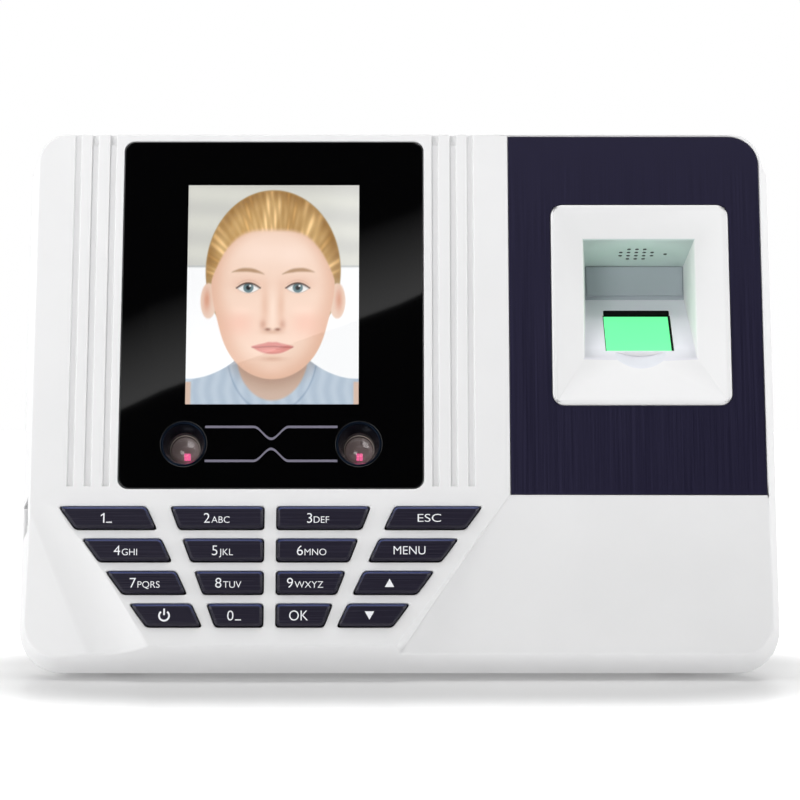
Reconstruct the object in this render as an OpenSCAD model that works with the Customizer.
// Desk and wall time terminal: a wedge-shaped case whose face leans back, with a display,
// two cameras, sixteen keys and a finger well. Millimetres, +Z up, the face looks towards -Y.
// Face frame used by most pieces: x to the right, y up along the face, z out of the face,
// with z = 0 on the parting plane between the two shells.

/* [Case] */
// Width of the case at the parting line
case_w = 190; // [190:1:194]
// Height of the case along the face, at the parting line
case_h = 138.8; // [138:0.2:141]
// Angle at which the face leans back
lean = 14; // [13:0.5:15]
// Depth of the front shell, from the parting line to the face
front_t = 18; // [17.8:0.1:18.4]
// How far the front shell's walls draw in towards the face
flare = 3.75; // [3:0.25:4]
// Corner radius at the parting line
corner_r = 11; // [10:0.5:13]
// Wall thickness of both shells
wall = 2.2; // [2:0.1:2.4]
// Back plane, behind the foot of the parting line
back_y = 44; // [43:0.5:48]
// How far the feet stand out
foot_h = 1; // [0.8:0.1:1.5]

/* [Lower face] */
// Height at which the lower right starts to sweep back
sweep_y = 46; // [44:1:48]
// Radius of that sweep
sweep_r = 170; // [160:5:190]
// Radius of the scoop beside the keys
scoop_r = 20; // [19:0.5:20.5]
// Fall of the facet on the left margin
facet_fall = 18; // [14:1:20]

/* [Display] */
// Width of the display glass
glass_w = 75.3; // [75:0.1:75.6]
// Height of the display glass
glass_h = 89.8; // [89.8:0.1:90]
// Thickness of the display glass
glass_t = 1.8; // [1.6:0.1:2]
// Centre line of the display and the keys
glass_x = -31.8; // [-32.2:0.1:-31.4]
// Lower edge of the display glass
glass_y = 43.2; // [43.2:0.1:43.6]
// Width of the lit screen
screen_w = 43.2; // [42:0.1:44]
// Height of the lit screen
screen_h = 57.6; // [56:0.1:57.6]
// Distance of each camera from the centre line
camera_x = 21.7; // [21:0.1:22]
// Radius of a camera well in the glass
well_r = 5.7; // [5.4:0.1:5.9]

/* [Keys] */
// Upper edge of the first row of keys
key_top_y = 38.35; // [38.2:0.05:38.5]
// Distance from row to row
key_pitch = 8.1; // [8:0.05:8.2]
// Height of a key
key_h = 5.4; // [5.2:0.1:5.6]
// How far a key stands out of the face
key_rise = 1.1; // [0.8:0.1:1.3]
// Gap around a key
key_gap = 0.3; // [0.25:0.05:0.4]
// Travel of a key
key_travel = 1; // [0.6:0.1:1]

/* [Finger well] */
// Width of the brushed plate
plate_w = 63.2; // [62.8:0.1:63.3]
// Width of the bezel
bezel_w = 44.6; // [44:0.1:45]
// Height of the bezel
bezel_h = 52; // [51:0.5:52]
// Centre of the bezel across the face
bezel_x = 60.4; // [60:0.1:60.8]
// Centre of the bezel up the face
bezel_y = 90.3; // [90:0.1:90.6]
// Width of the sensor window
window_w = 17; // [16:0.5:17.5]
// Length of the sensor window along the well's floor
window_h = 16.1; // [15:0.1:16.5]

/* [Wall bracket] */
// Hole spacing across
bracket_dx = 84; // [80:1:86]
// Hole spacing upwards
bracket_dz = 50; // [48:1:50]
// Radius of a wall screw hole
bracket_hole_r = 2.6; // [2.2:0.1:2.8]
// Lift that frees the terminal from the bracket
bracket_lift = 8.5; // [8.4:0.1:8.6]

/* [Hidden] */
$fn = 48;
KEYS = [["key_1", "key_2", "key_3", "key_esc"], ["key_4", "key_5", "key_6", "key_menu"],
        ["key_7", "key_8", "key_9", "key_up"], ["key_power", "key_0", "key_ok", "key_down"]];

white = [0.93, 0.93, 0.94];
black = [0.05, 0.05, 0.06];
navy = [0.14, 0.13, 0.21];
board_green = [0.05, 0.3, 0.16];
steel = [0.7, 0.71, 0.73];
amber = [0.75, 0.45, 0.12];
eps = 0.01;
far = 300;

// Fan of the key columns, left half: outer and inner edges as [offset at the top row, lean per mm down]
fan = [[[-51.87, 0.736], [-30.74, 0.471]], [[-24.39, 0.379], [-1.74, 0]]];
// Key levels: underside of the face, flange, stem foot
skin_z = front_t - wall;
flange_t = 0.9;
flange_edge = 0.6;
key_chamfer = 0.5;
stem_r = 1.8;
stem_foot_z = skin_z - 2.6;
key_low_y = key_top_y - 3 * key_pitch - key_h;

// Lower face: the crease beside the scoop, from its foot to its head, and the keypad block's right edge
crease_foot = [-77.3, 3.9, front_t - 5.3];
crease_head = [-90.8, 37.4, front_t - 0.2];
crease = crease_head - crease_foot;
crease_run = norm([crease.x, crease.y]);
block_edge_foot = [glass_x + 30.6, 3.24];
block_edge_slope = 0.745;
block_draft = 14;
lower_wall = wall - 0.5;

// Finger well, in the y-z plane of the face: ceiling front and back, floor back and front
roof_front = [108.1, 15];
roof_back = [106, -2];
floor_back = [97.1, -2];
floor_front = [77.2, 15];
floor_fall = atan2(floor_front.y - floor_back.y, floor_back.x - floor_front.x);
mouth_half = 14.05;
back_half = 12.65;
cup_half = 15.7;
cup_wall = 1.7;
funnel_z = 13.6;
sound_z = 6;
sound_r = 0.5;
mic_x = 7.4;
bezel_proud = 0.4;
bezel_rim = 1.2;
bezel_r = 3;
plate_t = 1;
plate_y = 41.6;
plate_h = 92.8;
plate_x = 27.5;
plate_corner_r = 7.5;
window_from = 3.2;
dip_r = 17;
dip_depth = 1.2;
housing_d = 19;

// Grooves beside the display, from the middle outwards
groove_x = [40.75, 45.3, 49.6];
groove_w = 1.6;
groove_d = 0.9;
groove_y = glass_y + 0.6;

// Levels inside, out of the parting plane
glass_r = 2.6;
tape_t = 0.2;
carrier_z = 11.2;
carrier_t = 1.8;
frame_z = carrier_z + carrier_t;
frame_t = 2.6;
frame_floor = 1.2;
board_t = 1.6;
main_z = -2.1;
camera_board_z = 4.6;
camera_y = 54.4;
hood_r = 3.9;
keypad_board_z = 9.1;
mat_t = 1;
mat_top_z = keypad_board_z + board_t + mat_t;
ribbon_t = 0.15;
// Display panel around the lit screen, and the steel frame around the panel
screen_low_y = 64.5;
panel_half = screen_w / 2 + 1.9;
panel_low_y = screen_low_y - 1.7;
panel_high_y = screen_low_y + screen_h + 3.5;
lcd_low_y = panel_low_y - 0.9;
lcd_high_y = panel_high_y + 3.3;
lcd_half = panel_half + 1.5;
carrier_half = 38.5;
carrier_low_y = 46;
carrier_high_y = 131;
usb_y = 37.6;
usb_x = -92.3;
usb_len = 14;
jack_y = 60;
jack_z = -8.1;

// Fasteners and bosses
case_bosses = [[-81, 24], [81, 24], [-80, 126], [80, 126], [22.5, 129]];
board_bosses = [[-84, 47], [-84, 112], [30, 47], [30, 112]];
carrier_points = [for (x = [-36.9, 36.9], y = [49, 128]) [glass_x + x, y]];
stake_points = [[24.6, 7], [18.1, 23.2]];
screw_seat_z = -4;
boss_r = 3.2;

// Battery cells, upright frame
cell_r = 9.2;
cell_len = 66;
cell_y = 26;
cell_z = [13, 31.4];
foot_r = 5;

// Wall bracket, upright frame
bracket_low_z = 42;
bracket_high_z = 104;
bracket_half = 52;
bracket_t = 1.5;
pocket_d = 5.5;
hook_x = 22;
hook_z = [62, 92];
hook_half = 5;
hook_h = 9;
hook_t = 1.4;
hook_slot_h = 10.5;
strap_t = 1.5;
strap_h = 14;
strap_half = 9;
strap_y = back_y - bracket_t - 0.5;
hook_y = back_y - pocket_d + 0.3;

// Depth range of the whole object, so that the origin sits under its middle
front_y = min(sin(lean) * flare - cos(lean) * front_t,
              sin(lean) * key_low_y - cos(lean) * (front_t + key_rise));
mid_y = (front_y + back_y) / 2;

module upright() translate([0, -mid_y, 0]) children();
module tilted() translate([0, 0, foot_h]) rotate([90 - lean, 0, 0]) children();
module face() upright() tilted() children();

module rounded(w, h, r) {
    square([w - 2 * r, h], center = true);
    square([w, h - 2 * r], center = true);
    for (x = [-1, 1], y = [-1, 1]) translate([x * (w / 2 - r), y * (h / 2 - r)]) circle(r);
}
module slab(low, high) translate(low) cube(high - low);
module at_points(points) for (p = points) translate([p.x, p.y, 0]) children();
// A strip of constant width along x that follows points in the y-z plane
module strip(path, x, w, t) {
    n = len(path) - 1;
    dirs = [for (i = [0 : n]) let(d = path[min(i + 1, n)] - path[max(i - 1, 0)]) [-d.y, d.x] / norm(d)];
    outer = [for (i = [0 : n]) path[i] + dirs[i] * t / 2];
    inner = [for (i = [n : -1 : 0]) path[i] - dirs[i] * t / 2];
    translate([x - w / 2, 0, 0]) rotate([90, 0, 90]) linear_extrude(w) polygon(concat(outer, inner));
}
// Places children in the frame of the well's floor: y runs from the lip to the back, z out of the floor
module well_floor()
    translate([bezel_x, floor_front.x, floor_front.y]) rotate([-floor_fall, 0, 0]) children();

// Tray of four corner cones, drawn in towards the face
module flared(inset, low, high) {
    hull() for (x = [-1, 1], y = [corner_r, case_h - corner_r])
        translate([x * (case_w / 2 - corner_r), y, low])
            cylinder(h = high - low, r1 = corner_r - inset - flare * low / front_t,
                     r2 = corner_r - inset - flare * high / front_t, $fn = 40);
}
// What is taken off below the display: the sweep on the right, the scoop and the facet on the left
module lower_cuts(skin) {
    difference() {
        slab([-far, -20, 0], [far, sweep_y, 60]);
        translate([-far, sweep_y, front_t - sweep_r])
            rotate([0, 90, 0]) cylinder(r = sweep_r - skin, h = 2 * far, $fn = 360);
        translate([block_edge_foot.x, block_edge_foot.y, front_t])
            rotate([0, 0, -atan(block_edge_slope)]) rotate([0, -block_draft, 0])
                slab([-far - skin, -60, -60], [-skin, far, 60]);
    }
    translate(crease_foot + [0, 0, scoop_r]) rotate([0, 0, atan2(-crease.x, crease.y)])
        rotate([atan2(crease.z, crease_run) - 90, 0, 0]) translate([0, 0, -60])
            cylinder(r = scoop_r + skin, h = 120, $fn = 180);
    translate(crease_foot - [0, 0, skin]) rotate([0, 0, atan2(-crease.x, crease.y)])
        rotate([atan2(crease.z, crease_run), 0, 0]) rotate([0, -facet_fall, 0])
            slab([-60, -40, 0], [0, 80, 40]);
}
// Outline of one key, grown by edge on every side
function fan_x(line, drop) = line[0] + line[1] * drop;
function key_outline(row, col, edge) =
    let(side = col < 2 ? 1 : -1, lines = fan[col < 2 ? col : 3 - col],
        top = row * key_pitch - edge, low = row * key_pitch + key_h + edge)
    [[side * (fan_x(lines[0], top) - edge), -top], [side * (fan_x(lines[1], top) + edge), -top],
     [side * (fan_x(lines[1], low) + edge), -low], [side * (fan_x(lines[0], low) - edge), -low]];
module key_prism(row, col, edge, low, high)
    translate([glass_x, key_top_y, low]) linear_extrude(high - low) polygon(key_outline(row, col, edge));
// Outline of the mat and its board, notched beside the data port
module mat_outline(edge) difference() {
    low = 3 * key_pitch + key_h;
    translate([glass_x, key_top_y]) polygon([for (p = [[-1, -1], [1, -1], [1, low + 1], [-1, low + 1]])
        [-p.x * (fan_x(fan[0][0], p.y) - edge), -p.y]]);
    translate([usb_x, usb_y - 3.5]) square([usb_len + 0.6, 20]);
}
module stakes(r, low, high)
    for (p = stake_points, x = [-1, 1])
        translate([glass_x + x * p.x, key_top_y - p.y, low]) cylinder(r = r, h = high - low);

module front_shell() color(white) face() difference() {
    union() {
        difference() {
            flared(0, 0, front_t);
            lower_cuts(0);
            difference() {
                flared(wall, -eps, skin_z);
                lower_cuts(lower_wall);
            }
        }
        // Ledge under the display glass
        translate([glass_x, glass_y + glass_h / 2, skin_z - 2])
            linear_extrude(2 + eps) rounded(glass_w + 3, glass_h + 3, glass_r + 1);
        intersection() {
            union() {
                at_points(case_bosses) cylinder(r = boss_r, h = front_t);
                at_points(board_bosses) translate([0, 0, main_z + board_t])
                    cylinder(r = boss_r, h = front_t);
            }
            difference() {
                flared(wall / 2, main_z, skin_z + wall / 2);
                lower_cuts(wall / 2);
            }
        }
        stakes(1.1, keypad_board_z, skin_z + eps);
        stakes(1.8, keypad_board_z - 0.8, keypad_board_z);
    }
    // Seat and window of the display
    translate([glass_x, glass_y + glass_h / 2, front_t - glass_t - tape_t])
        linear_extrude(far) rounded(glass_w + 0.4, glass_h + 0.4, glass_r);
    translate([glass_x, glass_y + glass_h / 2, 0]) linear_extrude(far) rounded(glass_w - 6, glass_h - 6, 1);
    at_points(carrier_points) cylinder(r = 1, h = skin_z - 0.5);
    // Seat of the plate and hole for the finger cup
    translate([0, 0, front_t - plate_t - 0.05]) linear_extrude(far) plate_outline(0.15);
    translate([bezel_x, bezel_y, 0]) linear_extrude(far) rounded(bezel_w - 5, bezel_h - 6, 1);
    grooves();
    for (row = [0 : 3], col = [0 : 3]) key_prism(row, col, key_gap, stem_foot_z, far);
    at_points(case_bosses) translate([0, 0, -eps]) cylinder(r = 1.5, h = 8);
    at_points(board_bosses) translate([0, 0, main_z]) cylinder(r = 1.05, h = 8);
    // Notch for the data port in the left wall
    slab([-far, usb_y - 4.2, -eps], [-82, usb_y + 4.2, 14]);
}
module grooves() for (side = [-1, 1], k = [0 : 2]) {
    x = glass_x + side * groove_x[k];
    slab([x - groove_w / 2, groove_y, front_t - groove_d], [x + groove_w / 2, far, far]);
    // The two inner ones run deeper over the top edge
    if (k < 2) slab([x - groove_w / 2, case_h - 6.2, front_t - 2 * groove_d], [x + groove_w / 2, far, far]);
}
module plate_outline(edge) {
    top = plate_y + plate_h + edge;
    right = plate_x + plate_w + edge;
    r = plate_corner_r + edge;
    translate([plate_x - edge, plate_y - edge]) square([plate_w + 2 * edge - r, plate_h + 2 * edge]);
    translate([plate_x - edge, plate_y - edge]) square([plate_w + 2 * edge, plate_h + 2 * edge - r]);
    translate([right - r, top - r]) circle(r);
}

// Outer form of the rear shell: from the parting outline back to a smaller upright back
module rear_form(inset) {
    back_half_w = case_w / 2 - 8;
    back_top_z = 132;
    r = corner_r - inset;
    hull() {
        tilted() for (x = [-1, 1], y = [corner_r, case_h - corner_r])
            translate([x * (case_w / 2 - corner_r), y, -0.5])
                cylinder(r = r, h = 0.5 + (inset > 0 ? eps : 0), $fn = 32);
        for (x = [-1, 1], z = [foot_h + corner_r, back_top_z - corner_r])
            translate([x * (back_half_w - corner_r), back_y - inset - 0.5, z])
                rotate([-90, 0, 0]) cylinder(r = r, h = 0.5, $fn = 32);
    }
}
module rear_shell() color(white) upright() {
    pocket_half = bracket_half + 1.5;
    pocket_low = bracket_low_z - bracket_lift - 0.5;
    pocket_high = bracket_high_z + 1.5;
    difference() {
        union() {
            difference() {
                rear_form(0);
                rear_form(wall);
            }
            intersection() {
                rear_form(0);
                union() {
                    tilted() at_points(case_bosses) translate([0, 0, -60]) cylinder(r = 5, h = 60);
                    slab([-pocket_half - wall, back_y - pocket_d - wall, pocket_low - wall],
                         [pocket_half + wall, back_y, pocket_high + wall]);
                    // Cradle ribs of the battery
                    for (x = [-28, 28])
                        slab([x - 1, cell_y - 9, foot_h], [x + 1, cell_y + 9, cell_z[0] + 1]);
                }
            }
        }
        tilted() at_points(case_bosses) {
            translate([0, 0, -60]) cylinder(r = 1.7, h = 60 + 1);
            translate([0, 0, -60]) cylinder(r = 3.4, h = 60 + screw_seat_z);
        }
        difference() {
            slab([-pocket_half, back_y - pocket_d, pocket_low], [pocket_half, back_y + 1, pocket_high]);
            // Straps that the bracket's hooks reach behind
            for (x = [-hook_x, hook_x], z = hook_z) difference() {
                slab([x - strap_half, back_y - pocket_d - 1, z + bracket_t + 0.1],
                     [x + strap_half, strap_y, z + strap_h]);
                slab([x - hook_half - 1, back_y - pocket_d, z],
                     [x + hook_half + 1, strap_y - strap_t, z + hook_slot_h]);
            }
        }
        battery_cells(cell_r + 0.2, cell_len + 4);
        foot_places() cylinder(r = foot_r + 0.2, h = foot_h + 1);
        tilted() translate([-far, jack_y, jack_z]) rotate([0, 90, 0]) cylinder(r = 4.3, h = far - 80);
    }
}
module foot_places() for (x = [-70, 70], y = [18, 37]) translate([x, y, 0]) children();
module rubber_feet() color(black) upright() foot_places() cylinder(r = foot_r, h = foot_h + 1);
module battery_cells(r, len) for (z = cell_z)
    translate([-len / 2, cell_y, z]) rotate([0, 90, 0]) cylinder(r = r, h = len);
module battery_pack() color([0.15, 0.35, 0.65]) upright() {
    battery_cells(cell_r, cell_len);
    slab([-cell_len / 2, cell_y - 2, cell_z[0]], [cell_len / 2, cell_y + 2, cell_z[1]]);
}

module display_glass() color(black) face() translate([glass_x, 0, front_t - glass_t]) difference() {
    translate([0, glass_y + glass_h / 2, 0]) linear_extrude(glass_t) rounded(glass_w, glass_h, glass_r);
    for (x = [-camera_x, camera_x]) translate([x, camera_y, -1]) cylinder(r = well_r + 0.05, h = 4);
}
module glass_tape() color(black) face()
    translate([glass_x, glass_y + glass_h / 2, front_t - glass_t - tape_t])
        linear_extrude(tape_t) difference() {
            rounded(glass_w - 0.6, glass_h - 0.6, 2);
            rounded(glass_w - 5.6, glass_h - 5.6, 1.2);
        }
module display_carrier() color(black) face() difference() {
    union() {
        slab([glass_x - carrier_half, carrier_low_y, carrier_z],
             [glass_x + carrier_half, carrier_high_y, carrier_z + carrier_t]);
        for (x = [-28.6, 28.6]) translate([glass_x + x, camera_y, camera_board_z + board_t])
            cylinder(r = 1.6, h = carrier_z - camera_board_z - board_t + eps);
    }
    for (x = [-camera_x, camera_x]) translate([glass_x + x, camera_y, 0]) cylinder(r = hood_r, h = 20);
    slab([glass_x - 14, camera_y - 3.2, 0], [glass_x + 14, camera_y + 3.2, 20]);
    slab([glass_x - 13, lcd_high_y + 0.3, 0], [glass_x + 13, lcd_high_y + 1.5, 20]);
    at_points(carrier_points) cylinder(r = 1.15, h = 20);
}
module lcd_frame() color(steel) face() difference() {
    slab([glass_x - lcd_half, lcd_low_y, frame_z], [glass_x + lcd_half, lcd_high_y, frame_z + frame_t]);
    slab([glass_x - panel_half - 0.1, panel_low_y - 0.1, frame_z + frame_floor],
         [glass_x + panel_half + 0.1, panel_high_y + 0.1, far]);
}
module lcd_panel() color([0.6, 0.65, 0.7]) face()
    slab([glass_x - panel_half, panel_low_y, frame_z + frame_floor],
         [glass_x + panel_half, panel_high_y, frame_z + frame_t]);
module camera_at(side) face() translate([glass_x + side * camera_x, camera_y, 0]) children();
module camera_hood(side) color(black) camera_at(side) rotate_extrude()
    polygon([[hood_r, frame_z], [well_r - 0.5, frame_z],
             [well_r - 0.5, front_t - glass_t - 0.3], [well_r, front_t - glass_t - 0.3],
             [well_r, front_t - 0.05], [well_r - 0.5, front_t - 0.05]]);
module camera_barrel(side) color(black) camera_at(side) difference() {
    translate([0, 0, camera_board_z + board_t]) cylinder(r = 4.5, h = carrier_z - camera_board_z - board_t);
    translate([0, 0, carrier_z - 1.4]) cylinder(r = 3.6, h = 2);
}
module camera_lens(side) color([0.4, 0.35, 0.38]) camera_at(side) intersection() {
    translate([0, 0, carrier_z - 1.4]) cylinder(r = 3.55, h = 4);
    translate([0, 0, carrier_z - 4.2]) sphere(r = 5, $fn = 64);
}
module camera_board() color(board_green) face()
    slab([glass_x - 31, camera_y - 7, camera_board_z],
         [glass_x + 31, camera_y + 7, camera_board_z + board_t]);
module infrared_leds() color([0.3, 0.2, 0.35]) face() for (x = [-10.5, -3.5, 3.5, 10.5])
    translate([glass_x + x, camera_y, camera_board_z + board_t]) {
        cylinder(r = 2.5, h = 5.5);
        translate([0, 0, 5.5]) sphere(r = 2.5);
    }

module sensor_plate() color(navy) face() translate([0, 0, front_t - plate_t])
    linear_extrude(plate_t) difference() {
        plate_outline(0);
        translate([bezel_x, bezel_y]) rounded(bezel_w + 0.3, bezel_h + 0.3, bezel_r + 0.15);
    }
// Hollow of the finger well: the mitred funnel, then the cup
module well_hollow() {
    top = front_t + bezel_proud;
    half_w = bezel_w / 2 - bezel_rim;
    half_h = bezel_h / 2 - bezel_rim;
    intersection() {
        across_well([[-half_w, top + eps], [half_w, top + eps],
                     [mouth_half, roof_front.y], [-mouth_half, roof_front.y]]);
        along_well(40, [[bezel_y - half_h, top + eps], [bezel_y + half_h, top + eps],
                        roof_front, floor_front]);
    }
    intersection() {
        across_well([[-mouth_half, roof_front.y + eps], [mouth_half, roof_front.y + eps],
                     [back_half, roof_back.y], [-back_half, roof_back.y]]);
        along_well(40, [roof_front + [0, eps], roof_back, floor_back, floor_front + [0, eps]]);
    }
}
// Prisms over a plan of the well, in x and z, and over its side view, in y and z
module across_well(plan)
    translate([bezel_x, bezel_y + 40, 0]) rotate([90, 0, 0]) linear_extrude(80) polygon(plan);
module along_well(half, side)
    translate([bezel_x - half, 0, 0]) rotate([90, 0, 90]) linear_extrude(2 * half) polygon(side);
module finger_well() color(white) face() difference() {
    union() {
        translate([bezel_x, bezel_y, front_t - plate_t])
            linear_extrude(plate_t + bezel_proud) rounded(bezel_w, bezel_h, bezel_r);
        along_well(cup_half, [roof_front + [cup_wall, 2.5], roof_back + [cup_wall, -cup_wall],
                              floor_back + [-0.8, -cup_wall], floor_front + [-5.1, 2.5]]);
        // Funnel walls behind the bezel
        translate([bezel_x, bezel_y + 0.95, funnel_z])
            linear_extrude(front_t - plate_t - funnel_z) rounded(bezel_w - 7, bezel_h - 8.5, 1);
    }
    well_hollow();
    well_floor() window_prism(0.1, -10, 5);
    // Finger dip in the lip
    well_floor() intersection() {
        translate([0, -10, dip_r - dip_depth]) rotate([-90, 0, 0]) cylinder(r = dip_r, h = 40);
        slab([-20, -4, -10], [20, window_from - 0.6, 4]);
    }
    // Sound holes in the ceiling
    translate([bezel_x, bezel_y + 10, sound_z]) rotate([-90, 0, 0]) {
        for (row = [-1.5 : 1 : 1.5]) {
            count = abs(row) > 1 ? 3 : 5;
            for (k = [0 : count - 1]) translate([(k - (count - 1) / 2) * 2, row * 2, 0]) sound_hole();
        }
        translate([mic_x, 0, 0]) sound_hole();
    }
}
module sound_hole() cylinder(r = sound_r, h = 12, $fn = 16);
// Block over the sensor window, grown by edge on every side
module window_prism(edge, low, high)
    slab([-window_w / 2 - edge, window_from - edge, low],
         [window_w / 2 + edge, window_from + window_h + edge, high]);
module well_panel() color([0.72, 0.73, 0.76]) face()
    slab([bezel_x - back_half + 0.4, floor_back.x + 1, floor_back.y],
         [bezel_x + back_half - 0.4, roof_back.x - 0.3, floor_back.y + 0.5]);
module sensor_prism() color([0.2, 0.95, 0.35]) face() well_floor() window_prism(0, -8, -0.5);
module sensor_housing() color(black) face() well_floor() difference() {
    slab([-12.5, 1, -housing_d], [12.5, 21.5, -2.2]);
    window_prism(0.3, 1.5 - housing_d, 0);
}
module sensor_board() color(board_green) face() well_floor()
    slab([-12, 1.4, -housing_d - board_t], [12, 21.1, -housing_d]);
// Places children above the well's ceiling, with z upwards along the face
module over_well(x)
    face() translate([bezel_x + x, roof_front.x + cup_wall + 0.3, sound_z]) rotate([-90, 0, 0]) children();
module speaker() color(black) over_well(0) difference() {
    slab([-5.3, -7, 0], [5.3, 8, 3.5]);
    translate([0, 0.5, -1]) cylinder(r = 4.2, h = 1.6);
}
module microphone() color(steel) over_well(mic_x) cylinder(r = 1.6, h = 2.5);

module key(row, col) color(navy) face() {
    hull() {
        key_prism(row, col, 0, skin_z - 1, front_t + key_rise - key_chamfer);
        key_prism(row, col, -key_chamfer, skin_z - 1, front_t + key_rise);
    }
    // Flange under the face, notched where it passes a stake
    difference() {
        key_prism(row, col, flange_edge, skin_z - 0.05 - flange_t, skin_z - 0.05);
        stakes(1.3, 0, 20);
    }
    key_stem(row, col);
}
module key_middle(row, col) {
    p = key_outline(row, col, 0);
    middle = (p[0] + p[1] + p[2] + p[3]) / 4;
    translate([glass_x + middle.x, key_top_y + middle.y, 0]) children();
}
module key_stem(row, col) key_middle(row, col)
    translate([0, 0, stem_foot_z]) cylinder(r = stem_r, h = skin_z - 0.5 - stem_foot_z);
module key_mat() color([0.75, 0.76, 0.78]) face() difference() {
    union() {
        translate([0, 0, keypad_board_z + board_t]) linear_extrude(mat_t) mat_outline(1);
        for (row = [0 : 3], col = [0 : 3]) key_middle(row, col) translate([0, 0, mat_top_z - eps])
            cylinder(r1 = 2.5, r2 = stem_r, h = stem_foot_z - key_travel - 0.1 - mat_top_z + eps);
    }
    stakes(1.4, 0, 20);
}
module keypad_board() color(board_green) face() difference() {
    translate([0, 0, keypad_board_z]) linear_extrude(board_t) mat_outline(1);
    stakes(1.4, 0, 20);
}

module main_board() color(board_green) face() difference() {
    slab([-88, 30, main_z], [34, 120, main_z + board_t]);
    at_points(board_bosses) translate([0, 0, main_z - 1]) cylinder(r = 1.4, h = 4);
}
module board_chips() color([0.12, 0.12, 0.13]) face() {
    slab([-40, 72, main_z - 1.4], [-22, 90, main_z]);
    slab([-12, 70, main_z - 2.4], [16, 92, main_z]);
    slab([-40, 52, main_z - 1.1], [-30, 64, main_z]);
    slab([22, 66, main_z - 1.6], [30, 78, main_z]);
    slab([glass_x - 13, 112, main_z + board_t], [glass_x + 13, 116.5, main_z + board_t + 1.4]);
    slab([glass_x - 9, 40, main_z + board_t], [glass_x + 9, 43.5, main_z + board_t + 1.4]);
    slab([-70, 33, main_z + board_t], [-56, 36.5, main_z + board_t + 1.4]);
}
module cell_holder() color(black) face() translate([-62, 50, 0]) difference() {
    translate([0, 0, main_z - 4.6]) cylinder(r = 12, h = 4.6);
    translate([0, 0, main_z - 5]) cylinder(r = 10.2, h = 4.4);
}
module coin_cell() color(steel) face() translate([-62, 50, main_z - 3.9]) cylinder(r = 10, h = 3.2);
module usb_port() color(steel) face() translate([usb_x, usb_y, main_z + board_t]) difference() {
    slab([0, -2.85, 0], [usb_len, 2.85, 13.1]);
    difference() {
        slab([-1, -2.45, 0.4], [usb_len - 0.6, 2.45, 12.7]);
        slab([1, -2, 1.2], [usb_len, -0.2, 11.9]);
    }
}
module dc_jack() color(black) face() translate([usb_x, jack_y, jack_z]) rotate([0, 90, 0]) difference() {
    union() {
        cylinder(r = 4, h = 4);
        slab([-6, -4.5, 3], [5, 4.5, 15]);
    }
    difference() {
        translate([0, 0, -1]) cylinder(r = 3.1, h = 11);
        cylinder(r = 1, h = 12);
    }
}
module lcd_flex() color(amber) face()
    strip([[lcd_high_y + 0.05, 14.4], [lcd_high_y + 0.7, 14.2], [lcd_high_y + 1, 13.4], [lcd_high_y + 1, 9],
           [lcd_high_y - 1.9, 4], [lcd_high_y - 7.9, 1.4], [116, 1.05], [113, 1.05]], glass_x, 22, ribbon_t);
module keypad_ribbon() color(amber) face()
    strip([[36.4, 8.9], [39, 8.6], [41, 7], [41.2, 4.4], [39.4, 2], [36.4, 1.05], [33.6, 1.05]],
          -63, 11, ribbon_t);
module camera_ribbon() color(amber) face()
    strip([[52, 4.45], [47, 4.2], [44.6, 3.4], [43.6, 2], [42.4, 1.05], [40.6, 1.05]],
          glass_x, 14, ribbon_t);
// Runs across the case, so its strip is turned until its path follows x
module sensor_ribbon() color(amber) face()
    translate([0, 76, 0]) mirror([0, 1, 0]) rotate([0, 0, 90]) mirror([0, 1, 0])
        strip([[24, -3.8], [30, -3.8], [35, -4.6], [40, -7.4], [44, -8.6], [47.6, -8.6]], 4, 8, ribbon_t);

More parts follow.
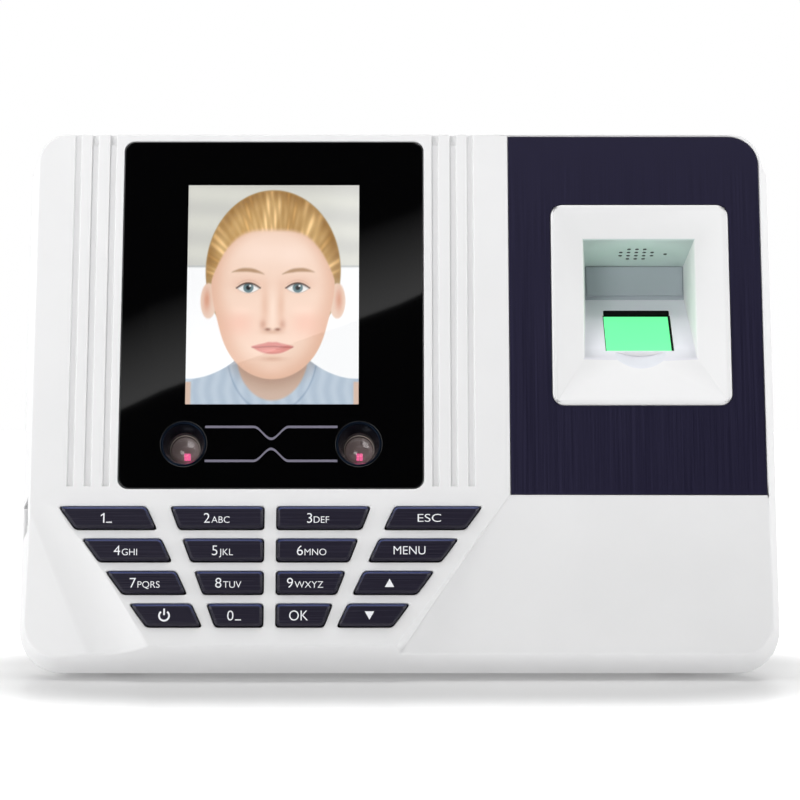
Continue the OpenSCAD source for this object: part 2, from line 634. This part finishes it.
module screw(head_r, head_h, shank_r, len) {
    difference() {
        translate([0, 0, -head_h]) cylinder(r = head_r, h = head_h);
        translate([-head_r * 0.6, -0.3, -head_h - 1]) cube([head_r * 1.2, 0.6, 1.7]);
        translate([-0.3, -head_r * 0.6, -head_h - 1]) cube([0.6, head_r * 1.2, 1.7]);
    }
    translate([0, 0, -eps]) cylinder(r = shank_r, h = len);
}
module case_screws() color(steel) face()
    at_points(case_bosses) translate([0, 0, screw_seat_z]) screw(2.8, 2.2, 1.45, 11);
module board_screws() color(steel) face()
    at_points(board_bosses) translate([0, 0, main_z]) screw(2.2, 1.6, 1, 7);
module carrier_screws() color(steel) face()
    at_points(carrier_points) translate([0, 0, carrier_z]) screw(1.9, 1.4, 0.95, 3.9);
module wall_bracket() color(steel) upright() difference() {
    union() {
        slab([-bracket_half, back_y - bracket_t, bracket_low_z], [bracket_half, back_y, bracket_high_z]);
        for (x = [-hook_x, hook_x], z = hook_z) {
            slab([x - hook_half, hook_y, z], [x + hook_half, back_y - eps, z + bracket_t]);
            slab([x - hook_half, hook_y, z], [x + hook_half, hook_y + hook_t, z + hook_h]);
        }
    }
    for (x = [-hook_x, hook_x], z = hook_z)
        slab([x - hook_half, back_y - bracket_t - eps, z + bracket_t],
             [x + hook_half, back_y + 1, z + hook_slot_h]);
    for (x = [-1, 1], z = [-1, 1])
        translate([x * bracket_dx / 2, back_y - 10, (bracket_low_z + bracket_high_z + z * bracket_dz) / 2])
            rotate([-90, 0, 0]) cylinder(r = bracket_hole_r, h = 20);
}

front_shell();
rear_shell();
display_glass();
glass_tape();
display_carrier();
lcd_frame();
lcd_panel();
camera_hood(-1);  // camera_hood_left
camera_hood(1);  // camera_hood_right
camera_barrel(-1);  // camera_barrel_left
camera_barrel(1);  // camera_barrel_right
camera_lens(-1);  // camera_lens_left
camera_lens(1);  // camera_lens_right
camera_board();
infrared_leds();
sensor_plate();
finger_well();
well_panel();
sensor_prism();
sensor_housing();
sensor_board();
speaker();
microphone();
for (row = [0 : 3], col = [0 : 3]) key(row, col);
key_mat();
keypad_board();
main_board();
board_chips();
coin_cell();
cell_holder();
usb_port();
dc_jack();
battery_pack();
lcd_flex();
keypad_ribbon();
sensor_ribbon();
camera_ribbon();
wall_bracket();
case_screws();
board_screws();
carrier_screws();
rubber_feet();
